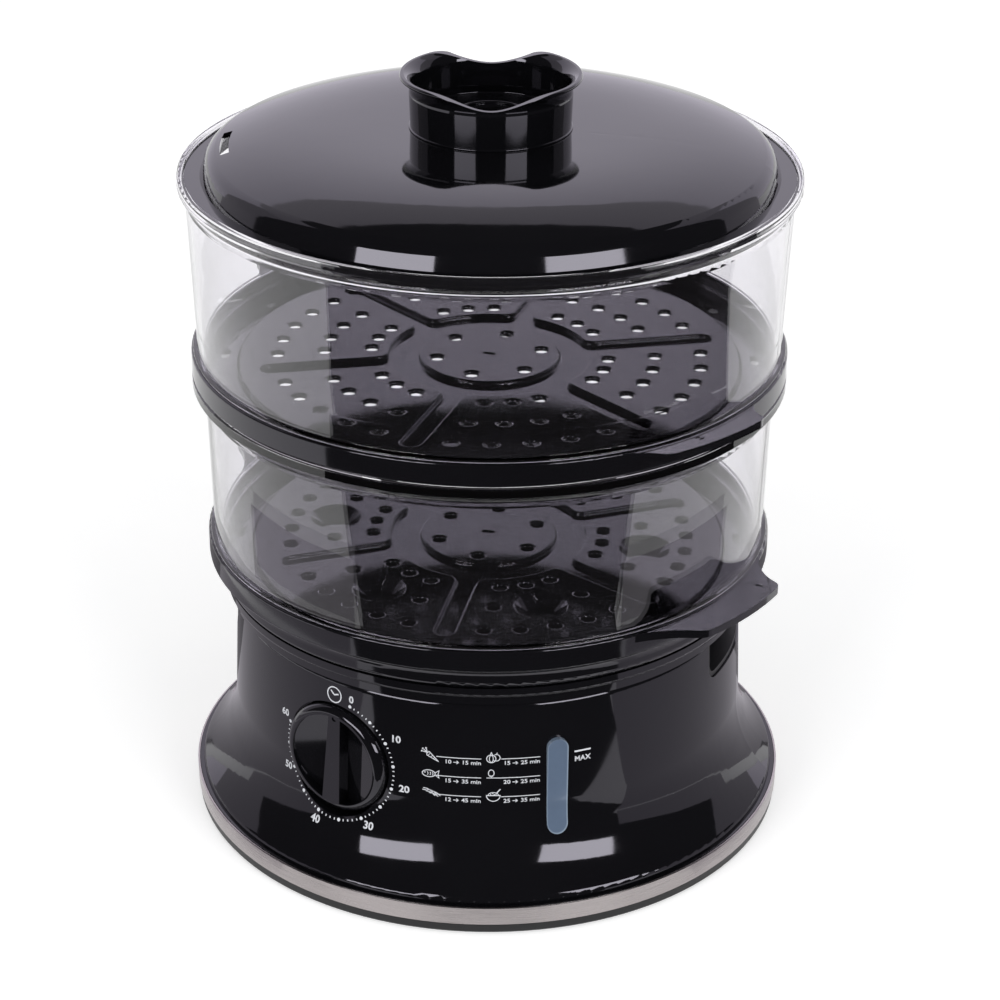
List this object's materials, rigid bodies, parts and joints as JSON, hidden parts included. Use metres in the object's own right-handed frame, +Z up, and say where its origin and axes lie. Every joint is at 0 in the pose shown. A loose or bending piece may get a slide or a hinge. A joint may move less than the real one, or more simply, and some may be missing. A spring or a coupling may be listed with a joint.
{
  "type": "electric food steamer",
  "caption": "Round electric food steamer with stacked clear bowls, perforated grids, domed lid, drip tray, flared base with water tank, level window and timer knob.",
  "frame": {"origin": "centre of the resting plane, under the middle of the base", "axes": "+Z up along the bowls' common axis, -Y towards the control panel, +X to the right seen from the front"},
  "size_m": [0.2608, 0.26, 0.3266],
  "materials": {
    "black_gloss": "injection-moulded, polished",
    "black_matte": "injection-moulded, fine texture",
    "clear_bowl": "clear polycarbonate, polished",
    "clear_window": "tinted polycarbonate",
    "brushed_band": "brushed along its length",
    "cast_heater": "die-cast, non-stick coated",
    "heater_steel": "stainless sheath",
    "zinc_steel": "zinc-plated",
    "brass_parts": "pressed",
    "bell_steel": "nickel-plated",
    "white_plastic": "moulded",
    "silicone": "moulded silicone",
    "black_rubber": "moulded"
  },
  "bodies": {
    "base": {"base_housing": "black_gloss", "steel_trim_ring": "brushed_band", "bottom_cover": "black_matte", "rubber_feet": "black_rubber", "bottom_screws": "zinc_steel", "water_tank": "black_matte", "heater_plate": "cast_heater", "heating_element": "heater_steel", "heater_terminals": "brass_parts", "heater_gasket": "silicone", "heater_nuts": "zinc_steel", "thermostat": "zinc_steel", "thermal_fuse": "brass_parts", "terminal_block": "white_plastic", "timer_body": "white_plastic", "timer_bell": "bell_steel", "timer_screws": "zinc_steel", "level_window": "clear_window", "cord_gland": "black_rubber"},
    "timer": {"timer_knob": "black_gloss", "timer_shaft": "brass_parts"},
    "turbo": {"turbo_ring": "black_matte"},
    "tray": {"drip_tray": "black_gloss"},
    "lower_bowl": {"lower_bowl_ring": "black_gloss", "lower_bowl_wall": "clear_bowl"},
    "lower_rack": {"lower_grid": "black_gloss"},
    "upper_bowl": {"upper_bowl_ring": "black_gloss", "upper_bowl_wall": "clear_bowl"},
    "upper_rack": {"upper_grid": "black_gloss"},
    "lid": {"lid_shell": "black_gloss", "lid_knob": "black_gloss", "lid_knob_screws": "zinc_steel"}
  },
  "joints": [
    {"name": "timer_turn", "type": "hinge", "parent": "base", "child": "timer", "pos_m": [-0.04331, -0.10405, 0.0612], "axis": [0.3843, 0.9232, 0], "range_deg": [0, 281]},
    {"name": "turbo_ring_lift", "type": "slide", "parent": "base", "child": "turbo", "axis": [0, 0, 1], "range_m": [0, 0.08]},
    {"name": "drip_tray_lift", "type": "slide", "parent": "turbo", "child": "tray", "axis": [0, 0, 1], "range_m": [0, 0.05]},
    {"name": "lower_bowl_lift", "type": "slide", "parent": "tray", "child": "lower_bowl", "axis": [0, 0, 1], "range_m": [0, 0.05]},
    {"name": "lower_grid_lift", "type": "slide", "parent": "lower_bowl", "child": "lower_rack", "axis": [0, 0, 1], "range_m": [0, 0.1]},
    {"name": "upper_bowl_lift", "type": "slide", "parent": "lower_rack", "child": "upper_bowl", "axis": [0, 0, 1], "range_m": [0, 0.05]},
    {"name": "upper_grid_lift", "type": "slide", "parent": "upper_bowl", "child": "upper_rack", "axis": [0, 0, 1], "range_m": [0, 0.1]},
    {"name": "lid_lift", "type": "slide", "parent": "upper_rack", "child": "lid", "axis": [0, 0, 1], "range_m": [0, 0.05]}
  ]
}
